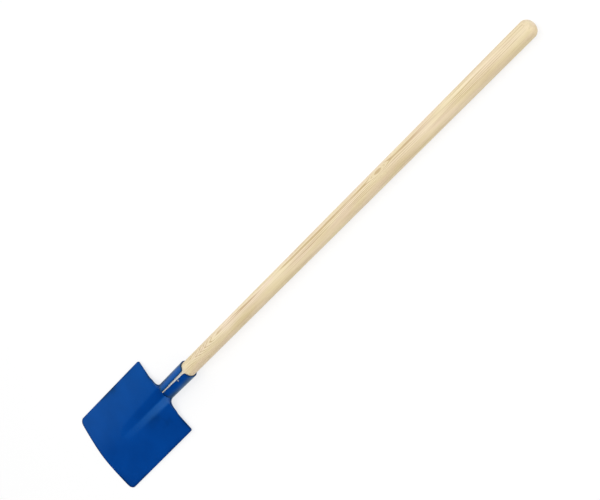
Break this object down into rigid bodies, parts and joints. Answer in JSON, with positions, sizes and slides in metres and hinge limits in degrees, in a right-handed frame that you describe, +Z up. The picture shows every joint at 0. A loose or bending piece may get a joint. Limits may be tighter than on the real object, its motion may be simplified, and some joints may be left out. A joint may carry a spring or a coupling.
{
  "type": "children's spade",
  "caption": "Children's long-handled spade: a dished and grooved sheet steel blade rolled into an open socket, with a round wooden shaft nailed into it.",
  "frame": {"origin": "on the ground under the middle of the spade's box, lying with the front of its blade down", "axes": "+X from the digging edge towards the end of the shaft, +Z up, out of the back of the blade, +Y across"},
  "size_m": [0.8628, 0.1264, 0.0325],
  "materials": {
    "blue_enamel": "satin gloss blue enamel",
    "bare_wood": "smooth, unpainted pale wood",
    "nail_steel": "dull zinc-coated steel"
  },
  "bodies": {
    "root": {"blade": "blue_enamel", "handle": "bare_wood", "nail": "nail_steel"}
  },
  "joints": []
}
